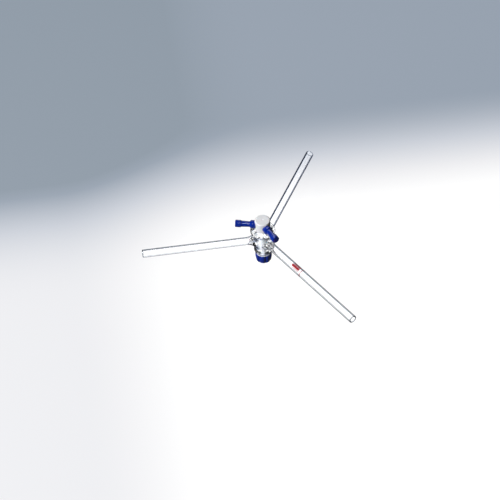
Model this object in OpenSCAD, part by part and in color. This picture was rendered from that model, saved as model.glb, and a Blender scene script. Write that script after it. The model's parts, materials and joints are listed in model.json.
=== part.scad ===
// Three-way glass stopcock with a PTFE key.
// The nut's flat underside lies on z = 0 and the key's axis is the Z axis.
// The three arms lie in one plane, 120 degrees apart. All sizes are in millimetres.

/* [Tube arms] */
// Outer diameter of the arm tubes
tube_od = 8; // [6:0.5:10]
// Wall thickness of the arm tubes
tube_wall = 1; // [0.8:0.1:1.4]
// Length of the left arm, from the key's axis to its open end
left_arm_len = 121.5; // [60:0.5:200]
// Length of the near arm, from the key's axis to its open end
near_arm_len = 140; // [60:0.5:200]
// Length of the far arm, from the key's axis to its open end
far_arm_len = 131; // [60:0.5:200]
// Radius of the flare where an arm grows out of the barrel
root_fillet = 10; // [8:0.5:14]
// How far the flare reaches out from the barrel's wall
root_reach = 6; // [4:0.5:7]

/* [Glass barrel] */
// Outer diameter of the barrel in the plane of the arms
barrel_d = 20.6; // [19:0.1:25]
// Height of the barrel above the plane of the arms
barrel_above = 14.5; // [12:0.1:20]
// Depth of the barrel below the plane of the arms
barrel_below = 16.5; // [14:0.1:20]
// Diameter of the rounded lip at the barrel's mouth
lip_d = 25; // [22:0.1:32]
// Thickness of the rounded lip
lip_t = 3.6; // [2.4:0.1:5]
// Diameter of the bead around the barrel's foot
foot_d = 19; // [17.5:0.1:24]
// Thickness of the bead around the barrel's foot
foot_t = 5; // [4:0.1:6]
// Diameter of the waist above the foot bead
waist_d = 17.2; // [16:0.1:20]

/* [Key] */
// Diameter of the tapered socket in the plane of the arms
socket_d = 10; // [9.5:0.1:12]
// Length over which the taper's diameter changes by one millimetre
taper_run = 5; // [5:0.5:10]
// Bore through the key, and through the barrel's wall
bore_d = 2.5; // [1.5:0.1:4]
// Diameter of the key's head
head_d = 15.6; // [14:0.1:20]
// Height of the head above its shoulder
head_h = 12.1; // [11:0.1:18]
// Rounding of the head's top edge
head_round = 1.3; // [0.5:0.1:2]
// Gap between the barrel's mouth and the head's shoulder
head_gap = 0.7; // [0.3:0.1:1.5]
// Width of the centre mark in the head's top
centre_mark_d = 1.8; // [1:0.1:3]
// Diameter of the key's shank, over its thread
shank_d = 6; // [4.5:0.1:6]
// Width across the two flats on the shank
shank_flats = 4.8; // [4:0.1:5.5]
// Height of the shank's end above the nut's underside
shank_recess = 0.8; // [0.5:0.1:2]
// How far the key is turned from the arms at rest
key_turn = -9; // [-60:1:60]

/* [Grips] */
// Reach of a grip's outer end from the key's axis
grip_reach = 27.4; // [22:0.1:40]
// Depth below the head's top at which the grips' axes meet the key's axis
grip_drop = 6.9; // [5.5:0.1:7.5]
// How far the grips slope up, outward
grip_tilt = 5; // [0:0.5:8]
// Diameter of a grip's outer end
grip_d = 7.4; // [7:0.1:9]
// Length of a grip's outer end
grip_end_len = 5.6; // [3:0.1:8]
// Diameter of a grip's waist
grip_waist_d = 6.3; // [4.5:0.1:6.5]
// Diameter of the saddle that hugs the head
saddle_d = 8.4; // [7:0.1:9]
// Length of the saddle, outward from the head's wall
saddle_len = 4.4; // [3:0.1:6]
// Diameter of the stud that sits in the head
stud_d = 4; // [3:0.1:4.4]
// Depth of the stud in the head
stud_len = 4.2; // [3:0.1:5]
// Number of shallow flutes around a grip's outer end
grip_flutes = 8; // [6:1:12]

/* [Washer, ring and nut] */
// Diameter of the slip washer
washer_d = 15.6; // [14:0.1:18]
// Thickness of the slip washer
washer_t = 1.2; // [0.8:0.1:2]
// Thickness of the O-ring's cord
ring_cord = 1.8; // [1.5:0.1:2.4]
// How far the O-ring stands out of its recess
ring_proud = 0.2; // [0.1:0.05:0.4]
// Diameter of the nut at its top
nut_d = 16.6; // [15:0.1:20]
// Diameter of the nut at its underside
nut_foot_d = 15.4; // [14.8:0.1:18]
// Height of the nut
nut_h = 9.6; // [7:0.1:14]
// Rounding of the nut's edges
nut_round = 0.8; // [0.4:0.1:1.2]
// Number of flutes around the nut
nut_flutes = 8; // [6:1:12]
// Diameter of the cutter that makes a flute
flute_d = 4; // [3:0.1:5]
// Depth of a flute at the nut's top
flute_depth = 1.3; // [1.1:0.1:1.6]
// Angle of the nut's first lobe at rest
nut_angle = -16; // [-22:1:22]

/* [Fits] */
// Running clearance between pieces that turn or slide, on the radius
fit = 0.05; // [0.02:0.01:0.1]

/* [Hidden] */
$fn = 96;

// The arms stand at these angles, and the grips at the first two of them.
left_angle = 180;
near_angle = 300;
far_angle = 60;

// Heights, from the nut's underside up
washer_z = nut_h + ring_proud + fit;
foot_z = washer_z + washer_t + fit;
arm_z = foot_z + barrel_below;
mouth_z = arm_z + barrel_above;
shoulder_z = mouth_z + head_gap;
head_z = shoulder_z + head_h;
grip_z = head_z - grip_drop;

tube_r = tube_od / 2;
tube_bore_r = tube_r - tube_wall;
barrel_r = barrel_d / 2;
root_end = barrel_r + root_reach;
root_start = (socket_d / 2 + barrel_r) / 2;
// The funnel widens from the port to the tube's bore inside the flare.
funnel_end = root_end - 1;
root_max_r = tube_r + root_fillet / 4;
foot_edge = 1.2;
recess_r = shank_d / 2 + ring_cord + 3 * fit;
recess_depth = ring_cord - ring_proud;
overcut = 1;

// Radius of the tapered socket at a height above or below the arms' plane
function taper_r(z) = socket_d / 2 + z / (2 * taper_run);

// A tapered plug around the Z axis, between two heights from the arms' plane
module taper(low, high, shrink) {
    translate([0, 0, arm_z + low])
        cylinder(h = high - low, r1 = taper_r(low) - shrink, r2 = taper_r(high) - shrink);
}

// Puts a shape that is drawn along +Z on an arm's axis.
module on_arm(angle) {
    translate([0, 0, arm_z])
        rotate([0, 90, angle])
            children();
}

// Puts a shape that is drawn along +Z on a grip's axis, which slopes up outward.
module on_grip(angle) {
    translate([0, 0, grip_z])
        rotate([0, 90 - grip_tilt, angle])
            children();
}

// Half of the barrel's outer section, with the arms' plane at zero
module barrel_section() {
    lip_r = lip_t / 2;
    lip_y = barrel_above - lip_r;
    bead_r = foot_t / 2;
    bead_y = -barrel_below + foot_edge + bead_r;
    foot_r = foot_d / 2;
    polygon([
        [0, -barrel_below],
        [foot_r - 2 * foot_edge, -barrel_below],
        [foot_r - foot_edge * 0.7, -barrel_below + foot_edge],
        [foot_r, bead_y],
        [waist_d / 2, bead_y + bead_r + 0.5],
        [barrel_r, 0],
        [barrel_r + 0.3, barrel_above * 0.4],
        [lip_d / 2 - 1.2, lip_y - lip_r],
        [lip_d / 2 - 0.4, lip_y - lip_r * 0.4],
        [lip_d / 2 - lip_r, barrel_above],
        [0, barrel_above]
    ]);
    translate([lip_d / 2 - lip_r, lip_y])
        circle(lip_r);
    translate([foot_r - bead_r, bead_y])
        circle(bead_r);
    translate([foot_r - 2 * foot_edge, -barrel_below + foot_edge])
        circle(foot_edge);
}

// The flare at an arm's root, drawn along +Z from the key's axis
module arm_root() {
    rotate_extrude()
        difference() {
            translate([0, root_start])
                square([root_max_r, root_end - root_start]);
            translate([tube_r + root_fillet, root_end])
                circle(root_fillet);
        }
}

// The passage in an arm's root: the port, the funnel and the tube's bore
module arm_passage() {
    cylinder(h = root_start + overcut, d = bore_d);
    translate([0, 0, root_start])
        cylinder(h = funnel_end - root_start, r1 = bore_d / 2, r2 = tube_bore_r);
    translate([0, 0, funnel_end])
        cylinder(h = root_end - funnel_end + overcut, r = tube_bore_r);
}

// A tube with a fire-polished end, from its root to its length from the key's axis
module arm_tube(len) {
    rim_r = tube_wall / 2;
    rotate_extrude() {
        translate([tube_bore_r, root_end])
            square([tube_wall, len - rim_r - root_end]);
        translate([tube_bore_r + rim_r, len - rim_r])
            circle(rim_r);
    }
}

// Barrel and arms, blown as one piece of borosilicate glass
module glass_body() {
    angles = [left_angle, near_angle, far_angle];
    lengths = [left_arm_len, near_arm_len, far_arm_len];
    color([0.80, 0.90, 0.93]) {
        difference() {
            union() {
                translate([0, 0, arm_z])
                    rotate_extrude()
                        barrel_section();
                for (angle = angles)
                    on_arm(angle)
                        arm_root();
            }
            taper(-barrel_below - overcut, barrel_above + overcut, 0);
            for (angle = angles)
                on_arm(angle)
                    arm_passage();
        }
        for (i = [0 : 2])
            on_arm(angles[i])
                arm_tube(lengths[i]);
    }
}

// The key: round head, tapered plug with a V-bore, and a shank with two flats.
// The shank ends a little inside the nut, so that the nut's foot alone meets what it stands on.
module key() {
    plug_end = -barrel_below + fit;
    head_r = head_d / 2;
    color([0.93, 0.94, 0.96])
        difference() {
            union() {
                translate([0, 0, shoulder_z])
                    rotate_extrude() {
                        square([head_r - head_round, head_h]);
                        square([head_r, head_h - head_round]);
                        translate([head_r - head_round, head_h - head_round])
                            circle(head_round);
                    }
                taper(plug_end, shoulder_z - arm_z, fit);
                intersection() {
                    translate([0, 0, shank_recess])
                        cylinder(h = arm_z - shank_recess, d = shank_d);
                    translate([0, 0, arm_z / 2])
                        cube([shank_flats, shank_d + overcut, arm_z], center = true);
                }
            }
            translate([0, 0, head_z - centre_mark_d / 2])
                cylinder(h = centre_mark_d, r1 = 0, r2 = centre_mark_d);
            // The V-bore: a ball-ended elbow on the axis, and two legs out of it
            translate([0, 0, arm_z])
                sphere(bore_d * 0.6);
            for (angle = [left_angle, near_angle]) {
                on_arm(angle + key_turn)
                    translate([0, 0, bore_d * 0.3])
                        cylinder(h = barrel_r, d = bore_d);
                on_grip(angle + key_turn)
                    translate([0, 0, head_r - stud_len])
                        cylinder(h = stud_len + overcut, d = stud_d);
            }
        }
}

// One grip: a stud in the head, a saddle, a waist and a fluted outer end
module grip(angle) {
    head_r = head_d / 2;
    stud_start = head_r - stud_len + fit;
    saddle_end = head_r + saddle_len;
    end_start = grip_reach - grip_end_len;
    end_r = grip_d / 2;
    edge = 0.6;
    flute_r = end_r / 3;
    color([0.05, 0.16, 0.56])
        difference() {
            on_grip(angle)
                rotate_extrude()
                    polygon([
                        [0, stud_start],
                        [stud_d / 2 - fit, stud_start],
                        [stud_d / 2 - fit, head_r / 2 + stud_start / 2],
                        [saddle_d / 2, head_r / 2 + stud_start / 2],
                        [saddle_d / 2, saddle_end - edge],
                        [saddle_d / 2 - edge, saddle_end],
                        [grip_waist_d / 2 - edge / 2, saddle_end + edge],
                        [grip_waist_d / 2, end_start - edge],
                        [end_r, end_start],
                        [end_r, grip_reach - edge],
                        [end_r - edge, grip_reach],
                        [0, grip_reach]
                    ]);
            // The saddle is hollowed to the head's wall, all but the stud.
            difference() {
                translate([0, 0, shoulder_z - overcut])
                    cylinder(h = head_h + 2 * overcut, r = head_r + fit);
                on_grip(angle)
                    cylinder(h = head_r + overcut, d = stud_d - 2 * fit);
            }
            for (i = [0 : grip_flutes - 1])
                on_grip(angle)
                    rotate([0, 0, (i + 0.5) * 360 / grip_flutes])
                        translate([end_r + flute_r * 0.8, 0, end_start])
                            cylinder(h = grip_end_len + overcut, r = flute_r);
        }
}

// PTFE washer that turns with the key and slips on the barrel's foot
module slip_washer() {
    color([0.95, 0.95, 0.93])
        translate([0, 0, washer_z])
            difference() {
                cylinder(h = washer_t, d = washer_d);
                intersection() {
                    translate([0, 0, -overcut])
                        cylinder(h = washer_t + 2 * overcut, d = shank_d + 2 * fit);
                    cube([shank_flats + 2 * fit, shank_d + 2, 4 * washer_t], center = true);
                }
            }
}

// Rubber ring that keeps the nut's pull springy, in the recess in the nut's top
module o_ring() {
    ring_mid_r = shank_d / 2 + fit + ring_cord / 2;
    color([0.12, 0.12, 0.13])
        translate([0, 0, nut_h + ring_proud - ring_cord / 2])
            rotate_extrude()
                translate([ring_mid_r, 0])
                    circle(ring_cord / 2 - fit / 2);
}

// Half of the nut's outer section
module nut_section() {
    top_r = nut_d / 2;
    low_r = nut_foot_d / 2;
    polygon([
        [0, 0],
        [low_r - nut_round, 0],
        [low_r, nut_round],
        [top_r, nut_h / 2],
        [top_r, nut_h - nut_round],
        [top_r - nut_round, nut_h],
        [0, nut_h]
    ]);
    translate([low_r - nut_round, nut_round])
        circle(nut_round);
    translate([top_r - nut_round, nut_h - nut_round])
        circle(nut_round);
}

// Fluted nut on the key's shank
module lock_nut() {
    color([0.05, 0.16, 0.56])
        difference() {
            rotate_extrude()
                nut_section();
            translate([0, 0, -overcut])
                cylinder(h = nut_h + 2 * overcut, r = shank_d / 2 + fit);
            translate([0, 0, nut_h - recess_depth])
                cylinder(h = recess_depth + overcut, r = recess_r);
            for (i = [0 : nut_flutes - 1])
                rotate([0, 0, nut_angle + (i + 0.5) * 360 / nut_flutes])
                    translate([nut_d / 2 + flute_d / 2 - flute_depth, 0, -overcut])
                        cylinder(h = nut_h + 2 * overcut, d = flute_d);
        }
}

glass_body();
key();
grip(left_angle + key_turn);  // grip_left
grip(near_angle + key_turn);  // grip_right
slip_washer();
o_ring();
lock_nut();
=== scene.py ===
import json
import math

import bpy
from mathutils import Matrix, Vector


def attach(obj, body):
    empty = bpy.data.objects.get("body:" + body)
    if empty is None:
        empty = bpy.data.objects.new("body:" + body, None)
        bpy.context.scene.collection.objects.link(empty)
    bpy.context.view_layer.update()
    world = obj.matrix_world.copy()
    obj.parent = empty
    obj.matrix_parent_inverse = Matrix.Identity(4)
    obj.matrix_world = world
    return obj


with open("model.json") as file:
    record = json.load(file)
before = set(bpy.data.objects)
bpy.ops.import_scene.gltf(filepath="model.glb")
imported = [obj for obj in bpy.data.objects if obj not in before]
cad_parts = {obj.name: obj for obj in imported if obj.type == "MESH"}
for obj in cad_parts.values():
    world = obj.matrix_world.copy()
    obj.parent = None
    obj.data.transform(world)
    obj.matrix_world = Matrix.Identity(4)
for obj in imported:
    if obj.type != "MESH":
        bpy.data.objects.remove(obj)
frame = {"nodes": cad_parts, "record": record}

MM = 0.001
nodes = frame["nodes"]
mounts = {m["name"]: m for m in frame["record"]["mounts"]}
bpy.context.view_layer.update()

# ---------------------------------------------------------------- camera
# A long lens looks down at the point where the three arms meet on the key's
# axis. The camera is turned a little about its own line of sight.
arm_z = mounts["left_arm_end"]["pos_m"][2]
hub = Vector((0, 0, arm_z))
view_azimuth = math.radians(-6.4)
view_elevation = math.radians(46.3)
view_roll = math.radians(2.33)
view_distance = 2.2
frame_width = 0.5
hub_right, hub_up = 0.0131, 0.0110

away = Vector((-math.sin(view_azimuth), math.cos(view_azimuth), 0))
back = Vector((0, 0, math.sin(view_elevation))) - away * math.cos(view_elevation)
level_right = Vector((math.cos(view_azimuth), math.sin(view_azimuth), 0))
level_up = back.cross(level_right)
right = level_right * math.cos(view_roll) - level_up * math.sin(view_roll)
up = level_up * math.cos(view_roll) + level_right * math.sin(view_roll)

camera_data = bpy.data.cameras.new("studio_camera")
camera_data.lens = camera_data.sensor_width * view_distance / frame_width
camera_data.clip_end = 100
camera = bpy.data.objects.new("studio_camera", camera_data)
turn = Matrix((right, up, back)).transposed().to_4x4()
place = hub - right * hub_right - up * hub_up + back * view_distance
camera.matrix_world = Matrix.Translation(place) @ turn
bpy.context.collection.objects.link(camera)
bpy.context.scene.camera = camera
bpy.context.scene.view_settings.view_transform = "Standard"


# ---------------------------------------------------------------- stage
# A pale floor that glows like a light table and dims towards its far left corner, in a
# dark room, so that the clear glass shows dark edges. A softbox on the left is the main
# light, and two small cards give only gloss.
class Value:
    """A shader socket that takes part in Python arithmetic by adding Math nodes."""

    def __init__(self, shop, socket):
        self.shop, self.socket = shop, socket

    def math(self, operation, first, second=0.0):
        return self.shop.node("ShaderNodeMath", {"operation": operation}, {0: first, 1: second})

    def __add__(self, other):
        return self.math("ADD", self, other)

    def __rsub__(self, other):
        return self.math("SUBTRACT", other, self)

    def __mul__(self, other):
        return self.math("MULTIPLY", self, other)

    def __gt__(self, other):
        return self.math("GREATER_THAN", self, other)

    def sine(self):
        return self.math("SINE", self)

    __radd__, __rmul__ = __add__, __mul__


class Finish:
    """One material: its Principled shader, and the nodes that vary it."""

    def __init__(self, name, **fixed):
        self.material = bpy.data.materials.new(name)
        self.material.use_nodes = True
        self.tree = self.material.node_tree
        self.shader = self.tree.nodes["Principled BSDF"]
        self.vary(**fixed)

    def node(self, kind, settings, sockets, out=0):
        made = self.tree.nodes.new(kind)
        for key, value in settings.items():
            if key == "stops":
                ramp = made.color_ramp
                while len(ramp.elements) < len(value):
                    ramp.elements.new(0.5)
                for element, (spot, colour) in zip(ramp.elements, value):
                    element.position, element.color = spot, colour
            else:
                setattr(made, key, value)
        for key, value in sockets.items():
            self.feed(made.inputs[key], value)
        return Value(self, made.outputs[out])

    def feed(self, socket, value):
        if isinstance(value, Value):
            self.tree.links.new(value.socket, socket)
        else:
            socket.default_value = value

    def vary(self, **sockets):
        for key, value in sockets.items():
            self.feed(self.shader.inputs[key.replace("_", " ")], value)

    def place(self):
        return self.node("ShaderNodeTexCoord", {}, {}, "Object")

    def blend(self, mask, low, high):
        unclamped = {"data_type": "RGBA", "clamp_factor": False}
        return self.node("ShaderNodeMix", unclamped, {0: mask, 6: low, 7: high}, 2)

    def noise(self, per_metre, detail=2.0):
        sockets = {"Vector": self.place(), "Scale": per_metre, "Detail": detail}
        return self.node("ShaderNodeTexNoise", {}, sockets)

    def bump(self, height, depth, strength=1.0):
        sockets = {"Strength": strength, "Distance": depth, "Height": height}
        return self.node("ShaderNodeBump", {}, sockets)

    def wear(self, name):
        mesh = nodes[name].data
        mesh.materials.clear()
        mesh.materials.append(self.material)


floor_half = 3.0
floor_mesh = bpy.data.meshes.new("floor")
corners = [(x * floor_half, y * floor_half, 0) for x, y in ((-1, -1), (1, -1), (1, 1), (-1, 1))]
floor_mesh.from_pydata(corners, [], [(0, 1, 2, 3)])
floor = bpy.data.objects.new("floor", floor_mesh)
bpy.context.collection.objects.link(floor)

table = Finish("light_table", Base_Color=(0.06, 0.06, 0.06, 1), Roughness=1.0, Specular_IOR_Level=0.0)
across = table.node("ShaderNodeSeparateXYZ", {}, {0: table.place()}, 0)
deep = table.node("ShaderNodeSeparateXYZ", {}, {0: table.place()}, 1)


def eased(distance, start, end, low, high):
    """A value that goes gently from low to high while a distance goes from start to end."""
    settings = {"interpolation_type": "SMOOTHSTEP"}
    return table.node("ShaderNodeMapRange", settings, {0: distance, 1: start, 2: end, 3: low, 4: high})


left_dimming, far_dimming = 0.62, 0.95
leftward = eased(across, 0.09, -0.2, 0.0, left_dimming)
farther = eased(deep, -0.06, 0.214, 0.0, far_dimming)
glow_stops = [(0.0, (1, 1, 1, 1)), (0.18, (0.98, 0.98, 0.98, 1)), (0.35, (0.83, 0.83, 0.85, 1)),
              (0.62, (0.56, 0.59, 0.65, 1)), (0.9, (0.28, 0.33, 0.40, 1)), (1.0, (0.24, 0.29, 0.35, 1))]
dimming = leftward * leftward + farther * farther
glow = table.node("ShaderNodeValToRGB", {"stops": glow_stops}, {0: dimming})
seen = table.node("ShaderNodeLightPath", {}, {}, "Is Camera Ray")
bounced = table.node("ShaderNodeLightPath", {}, {}, "Diffuse Depth") > 0.5
refracted = table.node("ShaderNodeLightPath", {}, {}, "Is Transmission Ray") * (1 - bounced)
scattered = table.node("ShaderNodeLightPath", {}, {}, "Is Diffuse Ray")
from_middle = table.node("ShaderNodeVectorMath", {"operation": "LENGTH"}, {0: table.place()}, 1)
reach = eased(from_middle, 0.16, 0.75, 1.0, 0.04)
through_glass = 1.3
mirrored = 0.06 + 0.02 * scattered
unseen = reach * (through_glass * refracted + (1 - refracted) * mirrored)
strength = seen + (1 - seen) * unseen
table.vary(Emission_Color=table.blend(strength, (0, 0, 0, 1), glow), Emission_Strength=1.0)
floor_mesh.materials.append(table.material)

world = bpy.data.worlds.new("studio")
world.use_nodes = True
room = world.node_tree
room_colour = room.nodes.new("ShaderNodeMix")
room_colour.data_type = "RGBA"
room_colour.inputs[6].default_value = (0.012, 0.015, 0.022, 1)
room_colour.inputs[7].default_value = (0.80, 0.82, 0.85, 1)
ray = room.nodes.new("ShaderNodeLightPath")
room.links.new(ray.outputs["Is Camera Ray"], room_colour.inputs[0])
room.links.new(room_colour.outputs[2], room.nodes["Background"].inputs["Color"])
bpy.context.scene.world = world


def soft_light(name, place, aim, width, height, watts, gloss_only=False):
    data = bpy.data.lights.new(name, "AREA")
    data.shape = "RECTANGLE"
    data.size, data.size_y = width, height
    data.energy = watts
    lamp = bpy.data.objects.new(name, data)
    lamp.visible_diffuse = not gloss_only
    lamp.location = place
    lamp.rotation_euler = (Vector(aim) - Vector(place)).to_track_quat("-Z", "Y").to_euler()
    bpy.context.collection.objects.link(lamp)


soft_light("left_softbox", (-1.0, -0.55, 0.85), (0, 0, 0), 0.3, 0.3, 23.5)
soft_light("top_strip", (-0.35, 0.75, 1.05), (0, 0, 0.04), 0.5, 0.1, 2.2)
soft_light("back_fill", (0.2, 1.2, 0.75), (0, 0, 0.04), 0.6, 0.6, 2.2)
soft_light("front_card", (0.12, -0.65, 1.34), (0, 0, 0.04), 0.2, 0.2, 2.8, gloss_only=True)
soft_light("left_card", (-1.13, 0.32, 0.96), (0, 0, 0.04), 0.2, 0.2, 2.8, gloss_only=True)

# ---------------------------------------------------------------- glass body
# The barrel with its three arms: clear borosilicate tube, sealed on and annealed by a
# glassblower. The tube's drawn surface is very slightly wavy, and a darker ring marks each
# cut end. The wall's colour is painted darker where it is seen at a slant. This painted shade
# stands in for the dark room that is seen through the glass at its edges.
clear = Finish("borosilicate", IOR=1.473, Transmission_Weight=1.0)
# Painted shade: the slant darkens the glass's base colour towards its edges, in place of the dark room
# that those edges show.
slant = clear.node("ShaderNodeLayerWeight", {}, {"Blend": 0.5}, "Facing")
painted_edge_shade_stops = [(0.0, (1, 1, 1, 1)), (0.43, (0.97, 0.98, 0.99, 1)), (0.53, (0.08, 0.11, 0.19, 1)),
              (0.64, (0.003, 0.004, 0.009, 1)), (1.0, (0.002, 0.002, 0.003, 1))]
drawn = clear.noise(70.0)
painted_edge_shade = clear.node("ShaderNodeValToRGB", {"stops": painted_edge_shade_stops}, {0: slant})
from_hub = clear.node("ShaderNodeVectorMath", {"operation": "SUBTRACT"}, {0: clear.place(), 1: hub})
rim_depth = 0.7 * MM
body_points = [nodes["glass_body"].matrix_world @ v.co - hub for v in nodes["glass_body"].data.vertices]
dot = {"operation": "DOT_PRODUCT"}
rims = 0.0
for arm in ("left_arm_end", "near_arm_end", "far_arm_end"):
    along = Vector(mounts[arm]["axis"])
    length = max(point.dot(along) for point in body_points)
    out_along = clear.node("ShaderNodeVectorMath", dot, {0: from_hub, 1: along}, 1)
    rims = (out_along > length - rim_depth) + rims
rim_colour = (0.16, 0.19, 0.23, 1)
clear.vary(Base_Color=clear.blend(rims, painted_edge_shade, rim_colour),
           Roughness=0.004 * clear.noise(900.0), Normal=clear.bump(drawn, 0.02 * MM))
lamp_path = clear.node("ShaderNodeLightPath", {}, {}, "Is Shadow Ray")
let_through = clear.node("ShaderNodeBsdfTransparent", {}, {"Color": (0.93, 0.95, 0.97, 1)})
glass_surface = Value(clear, clear.shader.outputs[0])
both = clear.node("ShaderNodeMixShader", {}, {0: lamp_path, 1: glass_surface, 2: let_through})
clear.feed(clear.tree.nodes["Material Output"].inputs["Surface"], both)
clear.wear("glass_body")


def round_edges(name, width, sharpest=55, segments=3):
    """Joins a node's skin and rounds its edges, as a flame or a mould's corners do."""
    weld = nodes[name].modifiers.new("joined_skin", "WELD")
    weld.merge_threshold = 0.002 * MM
    rounding = nodes[name].modifiers.new("rounded_edges", "BEVEL")
    rounding.width = width
    rounding.segments = segments
    rounding.limit_method = "ANGLE"
    rounding.angle_limit = math.radians(sharpest)
    rounding.harden_normals = True


round_edges("glass_body", 0.35 * MM)

# ---------------------------------------------------------------- key
# The key is turned in one piece from a white PTFE rod: a round head, the tapered plug
# that seals in the barrel, and a shank. Fine rings from the lathe tool stay on it.
turned = Finish("turned_ptfe", Subsurface_Weight=0.05, Subsurface_Scale=0.001)
flatten = {"operation": "MULTIPLY"}
flat_place = turned.node("ShaderNodeVectorMath", flatten, {0: turned.place(), 1: (1, 1, 0)})
from_axis = turned.node("ShaderNodeVectorMath", {"operation": "LENGTH"}, {0: flat_place}, 1)
along_axis = turned.node("ShaderNodeSeparateXYZ", {}, {0: turned.place()}, 2)
tool_pitch = 0.32 * MM
tool_mark = ((from_axis + along_axis) * (2 * math.pi / tool_pitch)).sine()
streak = turned.noise(260.0, 3.0)
turned.vary(Base_Color=turned.blend(streak, (0.76, 0.77, 0.79, 1), (0.86, 0.865, 0.88, 1)),
            Roughness=0.34 + 0.05 * tool_mark + 0.1 * streak,
            Normal=turned.bump(tool_mark, 0.006 * MM, 0.6))
turned.wear("key")


# ---------------------------------------------------------------- grips
# Two grips of deep blue moulded plastic, pressed by their studs into the head. Each has a
# saddle against the head, a waist and a fluted outer end; the skin is glossy.
def moulded(name, gloss):
    plastic = Finish(name, Coat_Weight=0.3, Coat_Roughness=0.05)
    flow = plastic.noise(240.0, 3.0)
    skin = plastic.noise(2600.0, 1.0)
    plastic.vary(Base_Color=plastic.blend(flow, (0.001, 0.013, 0.20, 1), (0.003, 0.030, 0.36, 1)),
                 Roughness=gloss + 0.05 * flow, Normal=plastic.bump(skin, 0.01 * MM, 0.5))
    return plastic


grip_blue = moulded("grip_plastic", 0.11)
for grip in ("grip_left", "grip_right"):
    grip_blue.wear(grip)
    round_edges(grip, 0.3 * MM, 24, 2)

# ---------------------------------------------------------------- slip washer
# A flat washer of white PTFE sheet between the barrel's foot and the nut. It has a
# D-shaped hole that stops it turning on the shank.
sheet = Finish("sheet_ptfe")
skived = sheet.node("ShaderNodeSeparateXYZ", {}, {0: sheet.place()}, 0)
knife_pitch = 0.45 * MM
knife_mark = (skived * (2 * math.pi / knife_pitch)).sine()
cloud = sheet.noise(400.0)
sheet.vary(Base_Color=sheet.blend(cloud, (0.74, 0.75, 0.77, 1), (0.83, 0.84, 0.85, 1)),
           Roughness=0.42 + 0.08 * cloud, Normal=sheet.bump(knife_mark, 0.004 * MM, 0.5))
sheet.wear("slip_washer")

# ---------------------------------------------------------------- O-ring
# A black rubber ring that the nut presses up against the washer, as a spring that keeps
# the key drawn into its seat. A little pale bloom lies on the rubber.
rubber = Finish("ring_rubber")
bloom = rubber.noise(700.0, 4.0)
rubber.vary(Base_Color=rubber.blend(bloom, (0.008, 0.008, 0.009, 1), (0.045, 0.045, 0.047, 1)),
            Roughness=0.5 + 0.25 * bloom, Normal=rubber.bump(bloom, 0.02 * MM, 0.4))
rubber.wear("o_ring")

# ---------------------------------------------------------------- lock nut
# A fluted nut of the same blue plastic, screwed onto the shank. Its foot is what the
# stopcock stands on.
nut_blue = moulded("nut_plastic", 0.13)
nut_blue.wear("lock_nut")
round_edges("lock_nut", 0.2 * MM, 30, 2)

# ---------------------------------------------------------------- red print
# A small plain mark on the near arm, screen-printed in red enamel and fired on: a solid
# bar, a row of ticks, a broken thin line and a broken ring round the tube.
near_arm = mounts["near_arm_end"]
tube_along = Vector(near_arm["axis"])
tube_up = Vector((0, 0, 1))
tube_side = tube_up.cross(tube_along)
tube_radius = near_arm["dims"]["r_mm"] * MM
ink_gap, ink_thickness = 0.005 * MM, 0.04 * MM
ink_bottom = tube_radius + ink_gap
ink_top = ink_bottom + ink_thickness
slice_degrees = 5
print_points, print_faces = [], []


def print_patch(start, length, low, high):
    """One fired patch: start and length in mm along the arm, low and high in degrees round it."""
    slices = max(2, math.ceil((high - low) / slice_degrees))
    first = len(print_points)
    for i in range(slices + 1):
        turned_to = math.radians(low + (high - low) * i / slices)
        outward = tube_up * math.cos(turned_to) + tube_side * math.sin(turned_to)
        for radius, reached in ((ink_top, start), (ink_top, start + length),
                                (ink_bottom, start + length), (ink_bottom, start)):
            print_points.append(hub + tube_along * reached * MM + outward * radius)
    for i in range(slices):
        here = first + 4 * i
        for k in range(4):
            print_faces.append((here + k, here + 4 + k, here + 4 + (k + 1) % 4, here + (k + 1) % 4))
    print_faces.append(tuple(first + k for k in range(4)))
    print_faces.append(tuple(first + 4 * slices + k for k in (3, 2, 1, 0)))


bar_start, bar_length = 48.0, 10.8
tick_start, tick_pitch, tick_width = 49.3, 1.65, 1.05
dash_start, dash_pitch, dash_length = 50.4, 1.75, 1.25
ring_start, ring_width = 61.3, 1.0
ring_first, ring_step, ring_arc = -114, 23, 16
print_patch(bar_start, bar_length, -37, -4)
for i in range(6):
    print_patch(tick_start + tick_pitch * i, tick_width, -6, 40)
for i in range(5):
    print_patch(dash_start + dash_pitch * i, dash_length, -54, -44)
for i in range(8):
    low = ring_first + ring_step * i
    print_patch(ring_start, ring_width, low, low + ring_arc)

print_mesh = bpy.data.meshes.new("arm_print")
print_mesh.from_pydata(print_points, [], print_faces)
arm_print = bpy.data.objects.new("arm_print", print_mesh)
bpy.context.collection.objects.link(arm_print)
enamel = Finish("fired_enamel", Specular_IOR_Level=0.2)
speckle = enamel.noise(3000.0, 3.0)
enamel.vary(Base_Color=enamel.blend(speckle, (0.30, 0.001, 0.010, 1), (0.42, 0.003, 0.016, 1)),
            Roughness=0.3 + 0.2 * speckle, Normal=enamel.bump(speckle, 0.01 * MM, 0.5))
print_mesh.materials.append(enamel.material)
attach(arm_print, "glass")
